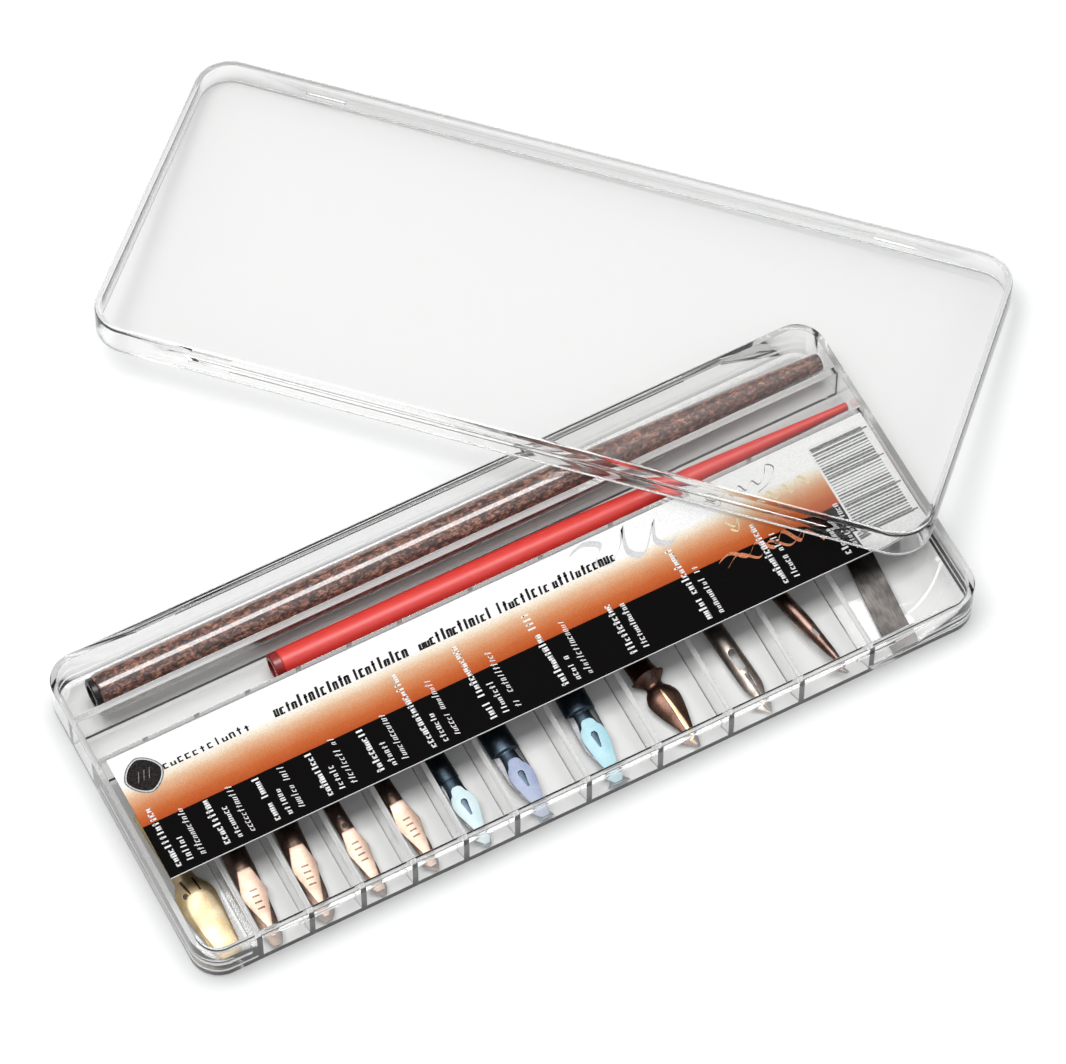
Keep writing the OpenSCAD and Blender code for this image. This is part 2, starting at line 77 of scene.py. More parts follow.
# Table and light: a white sheet under a large soft box that hangs over the back of the case and to
# its left, in a room of pale walls, so that shadows are short, soft and fall to the front.
floor_drop = 0.05 * mm
floor_half = 3
key_turn = math.radians(-27)
key_height = math.radians(80)
key_distance = 1.3
key_width = 1.1
key_depth = 0.6
key_watts = 15
fill_turn = math.radians(150)
fill_height = math.radians(55)
fill_distance = 1.6
fill_size = 1.2
fill_watts = 1
room_low = 0.12
room_high = 0.5
room_top = 0.75
sheet_glow = 0.05


def node_adder(tree):
    """The helper that adds a node to a tree, sets its fields and fills or links its inputs."""
    def add(kind, values=None, **fields):
        node = tree.nodes.new(kind)
        for key, value in fields.items():
            setattr(node, key, value)
        for key, value in (values or {}).items():
            if isinstance(value, bpy.types.NodeSocket):
                tree.links.new(value, node.inputs[key])
            elif isinstance(value, list):
                for link in reversed(value):
                    tree.links.new(link, node.inputs[key])
            else:
                node.inputs[key].default_value = value
        return node

    return add


def empty_shader(owner):
    """Clears a material's or a world's nodes and returns the helper that adds new ones."""
    owner.use_nodes = True
    owner.node_tree.nodes.clear()
    return node_adder(owner.node_tree)


def new_material(name):
    """A material without nodes, the helper that fills it, and its coordinates on the object."""
    material = bpy.data.materials.new(name)
    add = empty_shader(material)
    return material, add, add("ShaderNodeTexCoord").outputs["Object"]


def noise(add, place, scale, detail, **more):
    """Random grain, finer with a larger scale."""
    values = {"Vector": place, "Scale": scale, "Detail": detail, **more}
    return add("ShaderNodeTexNoise", values).outputs["Fac"]


def ranged(add, value, low, high, start=0.0, end=1.0):
    """A value that runs from low to high while the given one runs from start to end."""
    return add("ShaderNodeMapRange", {"Value": value, "From Min": start, "From Max": end,
                                      "To Min": low, "To Max": high}).outputs["Result"]


def worked(add, operation, a, b):
    """The result of a sum on two values."""
    return add("ShaderNodeMath", {0: a, 1: b}, operation=operation).outputs[0]


def blended(add, share, first, second):
    """Two colours mixed by a share."""
    return add("ShaderNodeMix", {"Factor": share, 6: first, 7: second}, data_type="RGBA").outputs[2]


def cover_with(add, shader):
    """Gives a material its surface."""
    add("ShaderNodeOutputMaterial", {"Surface": shader.outputs[0]})


def seen_directly(add):
    """1 for rays that reach the eye straight, by a mirror or through clear plastic."""
    path = add("ShaderNodeLightPath").outputs
    glossy = worked(add, "MAXIMUM", path["Is Camera Ray"], path["Is Glossy Ray"])
    return worked(add, "MAXIMUM", glossy, path["Is Transmission Ray"])


sheet_material, add, place = new_material("white_sheet")
paper_tone = ranged(add, noise(add, place, 900, 3), 0.86, 0.88)
paper = add("ShaderNodeBsdfDiffuse", {"Color": paper_tone})
glow = add("ShaderNodeEmission", {"Color": (1, 1, 1, 1), "Strength": sheet_glow})
dark = add("ShaderNodeEmission", {"Color": (0, 0, 0, 1), "Strength": 0})
lift = add("ShaderNodeMixShader", {0: seen_directly(add), 1: dark.outputs[0], 2: glow.outputs[0]})
cover_with(add, add("ShaderNodeAddShader", {0: paper.outputs[0], 1: lift.outputs[0]}))
sheet_mesh = bpy.data.meshes.new("table_sheet")
corners = [(x * floor_half, y * floor_half, -floor_drop) for x, y in ((-1, -1), (1, -1), (1, 1), (-1, 1))]
sheet_mesh.from_pydata(corners, [], [(0, 1, 2, 3)])
sheet_mesh.materials.append(sheet_material)
table_sheet = in_scene("table_sheet", sheet_mesh)


def soft_box(name, turn, height, distance, width, depth, watts):
    """A lamp that points at the case, its width along it; turn is from straight behind it, to the right."""
    data = bpy.data.lights.new(name, "AREA")
    data.shape = "RECTANGLE"
    data.size = width
    data.size_y = depth
    data.energy = watts
    lamp = in_scene(name, data)
    way = Vector((math.sin(turn) * math.cos(height), math.cos(turn) * math.cos(height), math.sin(height)))
    ahead = way.cross(Vector((1, 0, 0))).normalized()
    facing = Matrix((ahead.cross(way), ahead, way)).transposed().to_4x4()
    lamp.matrix_world = Matrix.Translation(distance * way) @ facing


soft_box("key_lamp", key_turn, key_height, key_distance, key_width, key_depth, key_watts)
soft_box("fill_lamp", fill_turn, fill_height, fill_distance, fill_size, fill_size, fill_watts)

world = bpy.data.worlds.new("pale_room")
bpy.context.scene.world = world
add = empty_shader(world)
upward = add("ShaderNodeSeparateXYZ", {"Vector": add("ShaderNodeTexCoord").outputs["Generated"]})
wall = ranged(add, upward.outputs["Z"], room_low, room_high, 0.0, room_top)
room = add("ShaderNodeBackground", {"Color": (0.97, 0.985, 1, 1), "Strength": wall})
white = add("ShaderNodeBackground", {"Color": (1, 1, 1, 1), "Strength": 1})
camera_ray = add("ShaderNodeLightPath").outputs["Is Camera Ray"]
backdrop = add("ShaderNodeMixShader", {0: camera_ray, 1: room.outputs[0], 2: white.outputs[0]})
add("ShaderNodeOutputWorld", {"Surface": backdrop.outputs[0]})
bpy.context.scene.view_settings.view_transform = "Standard"

# Tray: one moulding of clear polystyrene with two long dividers and eleven short ribs, which make
# two troughs for the pen holders and twelve cells for the nibs. Its edges leave the mould rounded.
tray_edge = 0.14 * mm


def softened(name, node, edge, rim=0):
    """A merged copy of a node's solid with rounded edges; they take material number rim."""
    bm = bmesh.new()
    bm.from_mesh(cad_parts[node].data)
    bmesh.ops.remove_doubles(bm, verts=bm.verts, dist=0.001 * mm)
    bmesh.ops.dissolve_limit(bm, angle_limit=math.radians(0.5), verts=bm.verts, edges=bm.edges)
    mesh = bpy.data.meshes.new(name)
    bm.to_mesh(mesh)
    bm.free()
    mesh.materials.clear()
    piece = in_scene(name, mesh)
    bevel = piece.modifiers.new("rounded_edges", "BEVEL")
    bevel.width = edge
    bevel.segments = 2
    bevel.limit_method = "ANGLE"
    bevel.angle_limit = math.radians(40)
    bevel.use_clamp_overlap = True
    bevel.material = rim
    for face in mesh.polygons:
        face.use_smooth = True
    mesh.set_sharp_from_angle(angle=math.radians(35))
    return piece


def clear_plastic(name, tint, wall_shadow, plate_shadow):
    """Clear polystyrene with faint flow marks; light passes plates easily and upright walls less so."""
    material, add, place = new_material(name)
    bump = add("ShaderNodeBump", {"Height": noise(add, place, 70, 2), "Strength": 0.08, "Distance": 0.0001})
    rough = ranged(add, noise(add, place, 450, 4), 0.01, 0.05)
    plastic = add("ShaderNodeBsdfPrincipled", {
        "Base Color": tint, "Transmission Weight": 1, "IOR": 1.59, "Roughness": rough,
        "Normal": bump.outputs["Normal"],
    })
    normal = add("ShaderNodeSeparateXYZ", {"Vector": add("ShaderNodeTexCoord").outputs["Normal"]})
    level = add("ShaderNodeMath", {0: normal.outputs["Z"]}, operation="ABSOLUTE").outputs[0]
    passing = add("ShaderNodeBsdfTransparent", {
        "Color": blended(add, worked(add, "POWER", level, 4), wall_shadow, plate_shadow)})
    path = add("ShaderNodeLightPath").outputs
    lighting = worked(add, "MAXIMUM", path["Is Shadow Ray"], path["Is Diffuse Ray"])
    cover_with(add, add("ShaderNodeMixShader", {0: lighting, 1: plastic.outputs[0], 2: passing.outputs[0]}))
    return material


def finish_piece(piece, materials, body, slot, *nodes):
    """Gives a piece its materials and body, and lets it stand for the nodes it replaces."""
    piece.data.materials.clear()
    for material in materials:
        piece.data.materials.append(material)
    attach(piece, body)
    if nodes:
        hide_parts(*nodes)


tray = softened("clear_tray", "tray", tray_edge)
divider_faces = ((11.65, 11.95), (12.95, 13.55), (22.95, 22.9), (24.25, 24.5))
on_face = 0.02
for vert in tray.data.vertices:
    for old, new in divider_faces:
        if abs(vert.co.y / mm - old) < on_face:
            vert.co.y = new * mm
            break
tray_plastic = clear_plastic("tray_polystyrene", (0.99, 0.99, 0.985, 1), (0.5, 0.5, 0.5, 1),
                             (0.97, 0.97, 0.965, 1))
finish_piece(tray, [tray_plastic], "root", "clear_tray", "tray")

# Lid: a clear moulding like the tray, lifted off and laid across its back, so that it rests on the
# rear rim, on the right rim and with one corner on the table.
lid_edge = 0.16 * mm
lid = softened("clear_lid", "lid", lid_edge)
lid_plastic = clear_plastic("lid_polystyrene", (0.985, 0.985, 0.98, 1), (0.4, 0.4, 0.4, 1),
                            (0.96, 0.96, 0.955, 1))
finish_piece(lid, [lid_plastic], "lid", "clear_lid", "lid")

# Card: white board of 0.3 mm, printed on top with a rust fade that runs into a black band; it lies
# loose on the dividers and ribs, over the nibs' shanks, and has lost its front right corner.
card_left, card_right = -87.2, 88.0
card_front, card_back = -17.8, 12.2
card_under, card_top = 10.35, 10.65
card_clip = 3.1
band_back = -4.85 * mm
fade_back = 5.4 * mm
bare_edge = 0.12


def ramp_stops(ramp, stops):
    """Sets a colour ramp to the given places and colours."""
    elements = ramp.color_ramp.elements
    while len(elements) < len(stops):
        elements.new(0.5)
    for element, (place, colour) in zip(elements, stops):
        element.position = place
        element.color = (*colour, 1)


card_material, add, place = new_material("printed_board")
back = add("ShaderNodeSeparateXYZ", {"Vector": place}).outputs["Y"]
speck = noise(add, place, 3500, 2)
drift = ranged(add, noise(add, place, 160, 3), -0.5 * mm, 0.5 * mm)
fade = ranged(add, worked(add, "ADD", back, drift), 0.0, 1.0, band_back, fade_back)
ramp = add("ShaderNodeValToRGB", {"Fac": fade})
ramp_stops(ramp, [
    (0, (0.42, 0.075, 0.018)), (0.22, (0.50, 0.12, 0.035)), (0.45, (0.58, 0.23, 0.10)),
    (0.68, (0.68, 0.42, 0.26)), (0.86, (0.80, 0.70, 0.56)), (1, (0.86, 0.86, 0.85)),
])
grain = ranged(add, speck, 0.88, 1.1, 0.3, 0.7)
inked = add("ShaderNodeVectorMath", {0: ramp.outputs["Color"], 1: grain}, operation="MULTIPLY")
in_band = worked(add, "LESS_THAN", back, band_back)
in_black = worked(add, "MULTIPLY", in_band, worked(add, "GREATER_THAN", back, (card_front + bare_edge) * mm))
paper_white = blended(add, in_band, inked.outputs[0], (0.8, 0.8, 0.8, 1))
print_colour = blended(add, in_black, paper_white, (0.0035, 0.003, 0.003, 1))
fibre = add("ShaderNodeBump", {"Height": speck, "Strength": 0.1, "Distance": 0.00003})
cover_with(add, add("ShaderNodeBsdfPrincipled", {
    "Base Color": print_colour, "Roughness": 0.6, "Specular IOR Level": 0.02,
    "Normal": fibre.outputs["Normal"]}))
outline = [(card_left, card_front), (card_right - card_clip, card_front), (card_right, card_front + card_clip),
           (card_right, card_back), (card_left, card_back)]
bm = bmesh.new()
sheets = [[bm.verts.new((x * mm, y * mm, z * mm)) for x, y in outline] for z in (card_under, card_top)]
bm.faces.new(reversed(sheets[0]))
bm.faces.new(sheets[1])
for k in range(len(outline)):
    after = (k + 1) % len(outline)
    bm.faces.new((sheets[0][k], sheets[0][after], sheets[1][after], sheets[1][k]))
card_mesh = bpy.data.meshes.new("printed_card")
bm.to_mesh(card_mesh)
bm.free()
finish_piece(in_scene("printed_card", card_mesh), [card_material], "card", "card", "card")

# Print on the card: three lines of small strokes over each cell, a title line, grey bars on a white
# field at the right and a few broad pen strokes, all screen-printed flat on the board.
ink_lift = 0.012 * mm


def ink(name, colour, fade_to):
    """A flat printing ink, slightly uneven where the board's fibres take less of it."""
    material, add, place = new_material(name)
    share = ranged(add, noise(add, place, 2600, 3), 0.0, 1.0, 0.35, 0.65)
    tone = blended(add, share, (*colour, 1), (*fade_to, 1))
    cover_with(add, add("ShaderNodeBsdfPrincipled", {
        "Base Color": tone, "Roughness": 0.6, "Specular IOR Level": 0.06}))
    return material


def node_tree(name, inputs):
    """A geometry node tree with named inputs, the helper that adds its nodes, and its inputs' sockets."""
    tree = bpy.data.node_groups.new(name, "GeometryNodeTree")
    tree.interface.new_socket(name="Geometry", in_out="INPUT", socket_type="NodeSocketGeometry")
    for label, kind in inputs:
        tree.interface.new_socket(name=label, in_out="INPUT", socket_type=kind)
    tree.interface.new_socket(name="Geometry", in_out="OUTPUT", socket_type="NodeSocketGeometry")
    add = node_adder(tree)
    return tree, add, add("NodeGroupInput").outputs


def grown(name, tree, lines, values):
    """The mesh that a node tree makes from lines (lists of points), as a finished object."""
    verts = [point for line in lines for point in line]
    edges = []
    for line in lines:
        start = edges[-1][1] + 1 if edges else 0
        edges += [(start + k, start + k + 1) for k in range(len(line) - 1)]
    seed = bpy.data.meshes.new(name)
    seed.from_pydata(verts, edges, [])
    source = in_scene(name, seed)
    nodes = source.modifiers.new("nodes", "NODES")
    nodes.node_group = tree
    for item in tree.interface.items_tree:
        if item.in_out == "INPUT" and item.name in values:
            nodes[item.identifier] = values[item.name]
    mesh = bpy.data.meshes.new_from_object(source.evaluated_get(bpy.context.evaluated_depsgraph_get()))
    source.modifiers.remove(nodes)
    bpy.data.objects.remove(source)
    return in_scene(name, mesh)


def close_tree(add, geometry, material):
    """Ends a node tree: instances become one mesh, which gets its material."""
    real = add("GeometryNodeRealizeInstances", {"Geometry": geometry})
    painted = add("GeometryNodeSetMaterial", {"Geometry": real.outputs[0], "Material": material})
    add("NodeGroupOutput", {"Geometry": painted.outputs[0]})


stroke_inputs = [("Pitch", "NodeSocketFloat"), ("Height", "NodeSocketFloat"), ("Stem", "NodeSocketFloat"),
                 ("Gaps", "NodeSocketFloat"), ("Slant", "NodeSocketFloat"), ("Seed", "NodeSocketInt"),
                 ("Ink", "NodeSocketMaterial")]
strokes, add, given = node_tree("pen_strokes", stroke_inputs)


def times(a, b):
    """A product inside the tree that is being built."""
    return worked(add, "MULTIPLY", a, b)


def stroke_bar(width, height, x, y):
    """A flat bar of the given size with its middle at x, y in the stroke's own frame."""
    bar = add("GeometryNodeMeshGrid", {"Size X": width, "Size Y": height, "Vertices X": 2, "Vertices Y": 2})
    middle = add("ShaderNodeCombineXYZ", {"X": x, "Y": y}).outputs[0]
    return add("GeometryNodeTransform", {"Geometry": bar.outputs["Mesh"], "Translation": middle}).outputs[0]


wide = times(given["Pitch"], 0.62)
side = times(given["Pitch"], 0.26)
short = times(given["Height"], 0.7)
short_middle = times(given["Height"], 0.35)
beam = times(given["Stem"], 0.8)
stem = stroke_bar(given["Stem"], given["Height"], 0.0, times(given["Height"], 0.5))
right_stem = stroke_bar(given["Stem"], short, side, short_middle)
left_stem = stroke_bar(given["Stem"], short, times(side, -1), short_middle)
foot = stroke_bar(wide, beam, 0.0, times(given["Stem"], 0.4))
cap = stroke_bar(wide, beam, 0.0, times(given["Height"], 0.66))
letters = ([stem], [left_stem, right_stem, cap], [left_stem, right_stem, foot], [stem, cap],
           [left_stem, foot, cap])
shapes = []
for parts in letters:
    joined = add("GeometryNodeJoinGeometry", {"Geometry": parts}).outputs[0]
    spot = add("ShaderNodeSeparateXYZ", {"Vector": add("GeometryNodeInputPosition").outputs[0]})
    lean = add("ShaderNodeCombineXYZ", {"X": times(spot.outputs["Y"], given["Slant"])})
    sheared = add("GeometryNodeSetPosition", {"Geometry": joined, "Offset": lean.outputs[0]})
    shapes.append(add("GeometryNodeGeometryToInstance", {"Geometry": sheared.outputs[0]}).outputs[0])
alphabet = add("GeometryNodeJoinGeometry", {"Geometry": shapes})
lines = add("GeometryNodeMeshToCurve", {"Mesh": given["Geometry"]})
row = add("GeometryNodeCurveToPoints", {"Curve": lines.outputs[0], "Length": given["Pitch"]}, mode="LENGTH")
gap = add("FunctionNodeRandomValue", {"Probability": given["Gaps"], "Seed": given["Seed"]},
          data_type="BOOLEAN").outputs[3]
kept = add("GeometryNodeDeleteGeometry", {"Geometry": row.outputs["Points"], "Selection": gap}, domain="POINT")
along = add("FunctionNodeAlignRotationToVector", {"Vector": row.outputs["Tangent"]}, axis="X", pivot_axis="Z")
pick = add("FunctionNodeRandomValue", {4: 0, 5: 4, "Seed": given["Seed"]}, data_type="INT")
tall = add("FunctionNodeRandomValue", {0: (0.85, 0.72, 1), 1: (1.1, 1.0, 1), "Seed": given["Seed"]},
           data_type="FLOAT_VECTOR")
placed = add("GeometryNodeInstanceOnPoints", {
    "Points": kept.outputs[0], "Instance": alphabet.outputs[0], "Pick Instance": True,
    "Instance Index": pick.outputs[2], "Rotation": along.outputs[0], "Scale": tall.outputs[0],
})
close_tree(add, placed.outputs[0], given["Ink"])

bar_inputs = [("Pitch", "NodeSocketFloat"), ("Length", "NodeSocketFloat"), ("Thin", "NodeSocketFloat"),
              ("Thick", "NodeSocketFloat"), ("Seed", "NodeSocketInt"), ("Ink", "NodeSocketMaterial")]
stack, add, given = node_tree("stacked_bars", bar_inputs)
lines = add("GeometryNodeMeshToCurve", {"Mesh": given["Geometry"]})
row = add("GeometryNodeCurveToPoints", {"Curve": lines.outputs[0], "Length": given["Pitch"]}, mode="LENGTH")
bar = add("GeometryNodeMeshGrid", {"Size X": given["Length"], "Size Y": 1.0, "Vertices X": 2, "Vertices Y": 2})
thickness = add("FunctionNodeRandomValue", {2: given["Thin"], 3: given["Thick"], "Seed": given["Seed"]},
                data_type="FLOAT").outputs[1]
size = add("ShaderNodeCombineXYZ", {"X": 1.0, "Y": thickness, "Z": 1.0})
placed = add("GeometryNodeInstanceOnPoints", {
    "Points": row.outputs["Points"], "Instance": bar.outputs["Mesh"], "Scale": size.outputs[0]})
close_tree(add, placed.outputs[0], given["Ink"])

white_ink = ink("white_ink", (0.72, 0.72, 0.72), (0.86, 0.86, 0.86))
black_ink = ink("black_ink", (0.006, 0.005, 0.005), (0.03, 0.026, 0.024))
grey_ink = ink("grey_ink", (0.1, 0.1, 0.1), (0.28, 0.28, 0.28))
pale_ink = ink("pale_grey_ink", (0.52, 0.53, 0.54), (0.66, 0.66, 0.67))
rust_ink = ink("rust_ink", (0.42, 0.12, 0.05), (0.6, 0.26, 0.14))
tan_ink = ink("tan_ink", (0.62, 0.5, 0.28), (0.78, 0.68, 0.48))


def on_card(x, y, lift=1):
    """A point on the card's print, in metres; a higher lift lies over a lower one."""
    return (x * mm, y * mm, card_top * mm + lift * ink_lift)


def print_strokes(name, lines, pitch, height, stem, gaps, slant, seed, colour):
    """Rows of small strokes along lines on the card."""
    finish_piece(grown(name, strokes, [[on_card(*point, 2) for point in line] for line in lines], {
        "Pitch": pitch * mm, "Height": height * mm, "Stem": stem * mm, "Gaps": gaps, "Slant": slant,
        "Seed": seed, "Ink": colour}), [colour], "card", "card")


def label_lines(shift, ends):
    """One upright line for each cell's label, beside the first by shift."""
    return [[(x + shift, label_start), (x + shift, y)] for x, y in zip(label_places, ends)]


def print_bars(name, x, back_end, front_end, lift, pitch, length, thin, thick, seed):
    """A stack of grey bars of uneven thickness."""
    finish_piece(grown(name, stack, [[on_card(x, back_end, lift), on_card(x, front_end, lift)]], {
        "Pitch": pitch * mm, "Length": length * mm, "Thin": thin * mm, "Thick": thick * mm,
        "Seed": seed, "Ink": grey_ink}), [grey_ink], "card", "card")


label_places = (-83.9, -72.9, -61.6, -49.7, -38.0, -26.2, -12.2, 4.3, 20.2, 37.6, 55.5, 70.4)
first_ends = (-2, -5.7, -5.7, -5.7, -5.7, 2.2, 2.2, 2.2, -3.8, 1.8, -1, -7.8)
second_ends = (-10.4, -8.6, -10.2, -10.4, -10.4, -8.4, -8.4, -10.4, -4.9, -4.2, -4.6, -4.8)
third_ends = (-5, -4.9, -4.9, -4.9, -4.9, -2.2, -2.2, -2.8)
label_start = -15.6
line_apart = 2.8
title_words = ((-51.8, -35.6), (-33.6, -22.4), (-18.6, -3), (-0.5, 10.4), (12.4, 25.8))
title_line = 5.0
print_strokes("label_first_lines", label_lines(0, first_ends), 1.05, 1.75, 0.42, 0.06, 0, 3, white_ink)
print_strokes("label_second_lines", label_lines(line_apart, second_ends), 0.95, 1.5, 0.28, 0.06, 0.08, 11,
              white_ink)
print_strokes("label_third_lines", label_lines(2 * line_apart, third_ends), 0.95, 1.5, 0.22, 0.03, 0.25, 23,
              white_ink)
print_strokes("title_line", [[(left, title_line), (right, title_line)] for left, right in title_words],
              1.3, 2.8, 0.58, 0, 0.12, 5, black_ink)
print_strokes("maker_line", [[(-77, 4.9), (-58.6, 4.9)]], 1.6, 1.8, 0.42, 0, 0, 8, black_ink)

field = bpy.data.meshes.new("white_field")
field_corners = ((73.7, -17.55), (87.9, -17.55), (87.9, 9.9), (73.7, 9.9))
field.from_pydata([on_card(x, y) for x, y in field_corners], [], [(0, 1, 2, 3)])
finish_piece(in_scene("white_field", field), [white_ink], "card", "card")
print_bars("field_bars", 80.3, 9.0, -13.4, 2, 0.72, 12.2, 0.14, 0.6, 4)
print_bars("field_long_bars", 80.9, 8.6, -13.2, 3, 7.2, 13.4, 0.3, 0.42, 9)


def smooth_rows(rows, steps):
    """Rows of numbers drawn through the given ones by a smooth curve."""
    out = []
    for i in range(len(rows) - 1):
        near = (rows[max(i - 1, 0)], rows[i], rows[i + 1], rows[min(i + 2, len(rows) - 1)])
        for t in (k / steps for k in range(steps)):
            out.append([0.5 * (2 * b + (c - a) * t + (2 * a - 5 * b + 4 * c - d) * t ** 2
                               + (3 * b - a - 3 * c + d) * t ** 3) for a, b, c, d in zip(*near)])
    return out + [list(rows[-1])]


def upright(mesh, smooth=False):
    """Turns a flat mesh's faces to look up."""
    bm = bmesh.new()
    bm.from_mesh(mesh)
    for face in bm.faces:
        if face.normal.z < 0:
            face.normal_flip()
        face.smooth = smooth
    bm.to_mesh(mesh)
    bm.free()


def pen_stroke(name, points, nib_width, nib_turn, colour, lift=1):
    """A stroke of a broad pen held at a fixed angle along a smooth line: thick and thin by direction."""
    nib = Vector((math.cos(nib_turn), math.sin(nib_turn))) * nib_width / 2
    path = smooth_rows(points, 10)
    verts = [on_card(x + way * nib.x, y + way * nib.y, lift) for x, y in path for way in (-1, 1)]
    mesh = bpy.data.meshes.new(name)
    mesh.from_pydata(verts, [], [(2 * k, 2 * k + 1, 2 * k + 3, 2 * k + 2) for k in range(len(path) - 1)])
    upright(mesh)
    finish_piece(in_scene(name, mesh), [colour], "card", "card")


pen_turn = math.radians(40)
flourishes = (
    ("wave", pale_ink, 1.5, 1, [
        (18.5, 10.5), (22, 11.4), (25, 9.5), (22.5, 6.5), (25.5, 5.2), (29, 8), (31, 11.2), (29.5, 6),
        (32, 3.6), (35, 6.5), (37.5, 9.6), (35.8, 5.4), (38.5, 3.4), (42, 5.8)]),
    ("ripple", grey_ink, 0.35, 2, [
        (48, 8), (50, 9.6), (51.5, 8), (49.8, 6.8), (52.5, 7.4), (54, 8.6), (55, 7), (57, 8.6), (58, 7),
        (60, 8.4), (61, 7), (63, 8.4), (64.4, 10.4), (65.6, 9), (63, 6.4), (60, 5.4)]),
    ("swell", tan_ink, 0.7, 2, [
        (55.5, 3.4), (58, 5), (59.5, 2.6), (61.5, 4.6), (63, 2.4), (65.2, 4.6), (66.4, 2.2), (69, 4.8),
        (70.5, 2.4)]),
    ("splash", tan_ink, 0.5, 2, [(50.5, 2.4), (52, 0.6), (53.4, 2.6), (52.2, -0.6), (50.8, 0.4)]),
    ("sweep", rust_ink, 0.9, 1, [
        (45, -5.4), (48, -4.6), (51, -6.8), (54, -4.8), (57, -7.6), (60, -5), (62.5, -8.6), (65, -6.4),
        (67, -10.6)]),
    ("return_stroke", rust_ink, 0.6, 2, [
        (46, -7.4), (49.5, -5.6), (53, -8.2), (56.5, -5.8), (60, -8.6), (63.5, -7)]),
)
for title, colour, width, lift, points in flourishes:
    pen_stroke(f"ornament_{title}", points, width, pen_turn, colour, lift)


def rounded_lozenge(name, middle, reach, colour, lift):
    """A lozenge with bowed sides: the mark at the head of the title line."""
    count = 64
    verts = []
    for k in range(count):
        turn = 2 * math.pi * k / count
        c, s = math.cos(turn), math.sin(turn)
        verts.append(on_card(middle[0] + reach * abs(c) ** 1.25 * math.copysign(1, c),
                             middle[1] + reach * abs(s) ** 1.25 * math.copysign(1, s), lift))
    mesh = bpy.data.meshes.new(name)
    mesh.from_pydata(verts, [], [tuple(range(count))])
    finish_piece(in_scene(name, mesh), [colour], "card", "card")


mark_place = (-81.8, 5.7)
rounded_lozenge("mark_rim", mark_place, 4.3, grey_ink, 1)
rounded_lozenge("mark_gap", mark_place, 4.0, pale_ink, 2)
rounded_lozenge("mark_field", mark_place, 3.75, black_ink, 3)
for side, shift in (("l1", -1.2), ("r0", 0), ("r1", 1.2)):
    points = [(mark_place[0] + shift + 0.5 * k, mark_place[1] + 1.1 * k) for k in (-1, 0, 1)]
    pen_stroke(f"mark_stroke_{side}", points, 0.4, pen_turn, grey_ink, 4)

# Thick pen holder: turned wood under a marbled brown lacquer, polished; a black collar is pressed
# into its mouth and holds sprung steel leaves that grip a nib's shank.
def turned(name, profile, bore, depth, place, tail=0.0):
    """A lathe-turned piece along X from place, bored to a depth; its end is rounded by tail."""
    sides = 96
    length, end = profile[-1]
    if tail:
        turns = [math.pi / 12 * k for k in range(7)]
        profile = profile[:-1]
        profile += [(length + tail * (math.sin(t) - 1), end + tail * (math.cos(t) - 1)) for t in turns]
    ring_rows = [(depth, 0.0), (depth, bore / 2), (profile[0][0], bore / 2), *profile, (length, 0.0)]
    if depth >= length:
        ring_rows = [(length, bore / 2), (profile[0][0], bore / 2), *profile, (length, bore / 2)]
    bm = bmesh.new()
    rings = []
    for along, radius in ring_rows:
        turns = [2 * math.pi * k / sides for k in range(sides if radius else 1)]
        rings.append([bm.verts.new((along * mm, radius * mm * math.cos(t), radius * mm * math.sin(t)))
                      for t in turns])
    for one, two in zip(rings, rings[1:]):
        for k in range(sides):
            after = (k + 1) % sides
            corners = [one[k % len(one)], two[k % len(two)], two[after % len(two)], one[after % len(one)]]
            bm.faces.new(list(dict.fromkeys(corners)))
    bmesh.ops.remove_doubles(bm, verts=bm.verts, dist=0.0001 * mm)
    bmesh.ops.recalc_face_normals(bm, faces=bm.faces)
    bm.transform(place)
    mesh = bpy.data.meshes.new(name)
    bm.to_mesh(mesh)
    bm.free()
    for face in mesh.polygons:
        face.use_smooth = True
    mesh.set_sharp_from_angle(angle=math.radians(40))
    return in_scene(name, mesh)


brown_place = Matrix.Translation(Vector((-82.5, 29.5, 5.6)) * mm)
brown_profile = [(1.4, 3.62), (1.5, 3.74), (1.9, 3.88)] + smooth_rows([
    (3.6, 4.0), (7.4, 4.05), (54, 4.05), (102.4, 4.05), (112.4, 3.88), (122.4, 3.62), (132.4, 3.28),
    (142.7, 2.95), (152.7, 2.63), (162.7, 2.25), (168.5, 2.0)], 4) + [(170.7, 1.95)]
brown_handle = turned("marbled_handle", brown_profile, 5.8, 14, brown_place, 0.5)
lacquer, add, place = new_material("marbled_lacquer")
place = add("ShaderNodeMapping", {"Vector": place, "Scale": (0.5, 1, 1)}).outputs["Vector"]
flecks = noise(add, place, 3600, 5, Roughness=0.8)
mottle = worked(add, "ADD", flecks, noise(add, place, 1300, 3, Distortion=0.8))
tones = add("ShaderNodeValToRGB", {"Fac": ranged(add, mottle, 0.0, 1.0, 0.78, 1.26)})
ramp_stops(tones, [(0, (0.004, 0.002, 0.002)), (0.35, (0.04, 0.012, 0.008)), (0.6, (0.2, 0.07, 0.042)),
                   (1, (0.5, 0.24, 0.16))])
cover_with(add, add("ShaderNodeBsdfPrincipled", {
    "Base Color": tones.outputs["Color"], "Roughness": 0.45,
    "Coat Weight": 1.0, "Coat Roughness": 0.04, "Coat IOR": 1.8}))
finish_piece(brown_handle, [lacquer], "brown_holder", "brown_lacquer", "brown_handle")

